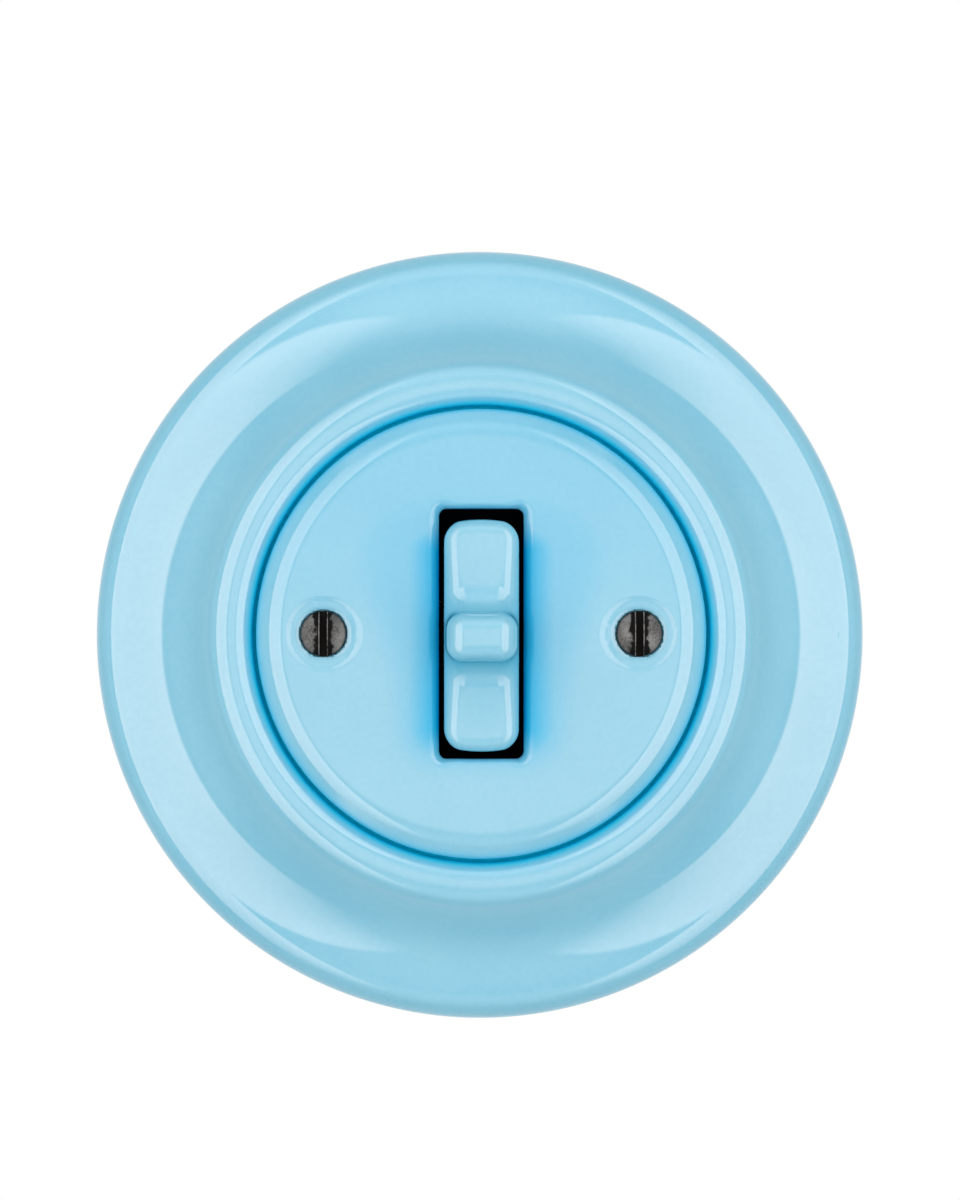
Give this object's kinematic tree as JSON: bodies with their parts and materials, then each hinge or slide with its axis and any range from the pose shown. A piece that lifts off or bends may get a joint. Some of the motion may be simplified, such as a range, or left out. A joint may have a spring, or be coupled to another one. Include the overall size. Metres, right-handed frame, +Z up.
{
  "type": "porcelain toggle switch",
  "caption": "Round glazed porcelain wall switch: an ogee frame, a cover disc on slotted screws and a rocker with a raised nose that tips a contact bridge behind the wall plate.",
  "frame": {"origin": "centre of the switch on the wall plane, midway between the two box-screw holes", "axes": "+Z up the wall, -Y out of the wall towards the user, +X to the user's right"},
  "size_m": [0.1, 0.045, 0.1],
  "materials": {
    "glazed_porcelain": "glossy pale-blue glaze",
    "burnished_steel": "dark burnished steel, slotted heads",
    "zinc_steel": "satin zinc-plated steel",
    "brass": "bright turned brass",
    "silver": "pressed silver contact",
    "black_moulding": "black moulded insulating resin",
    "spring_steel": "bright spring wire"
  },
  "bodies": {
    "housing": {"porcelain_frame": "glazed_porcelain", "cover_disc": "glazed_porcelain", "cover_screws": "burnished_steel", "left_support_post": "brass", "right_support_post": "brass", "mounting_plate": "zinc_steel", "switch_base": "black_moulding", "plate_rivets": "zinc_steel", "pivot_pin": "zinc_steel", "common_bracket": "brass", "upper_contact_strip": "brass", "lower_contact_strip": "brass", "upper_fixed_tip": "silver", "lower_fixed_tip": "silver", "upper_terminal_block": "brass", "lower_terminal_block": "brass", "common_terminal_block": "brass", "terminal_screws": "zinc_steel"},
    "rocker_lever": {"rocker": "glazed_porcelain", "rocker_cradle": "black_moulding", "plunger": "black_moulding", "plunger_spring": "spring_steel"},
    "contact_seesaw": {"contact_bridge": "brass", "upper_bridge_tip": "silver", "lower_bridge_tip": "silver"}
  },
  "joints": [
    {"name": "rocker_tilt", "type": "hinge", "parent": "housing", "child": "rocker_lever", "pos_m": [0, -0.01125, 0], "axis": [-1, 0, 0], "range_deg": [0, 5]},
    {"name": "seesaw_tilt", "type": "hinge", "parent": "housing", "child": "contact_seesaw", "pos_m": [0, 0.008, 0], "axis": [1, 0, 0], "range_deg": [0, 14]}
  ],
  "couplings": [
    {"joint": "seesaw_tilt", "follows": "rocker_tilt", "ratio": 2.8}
  ]
}
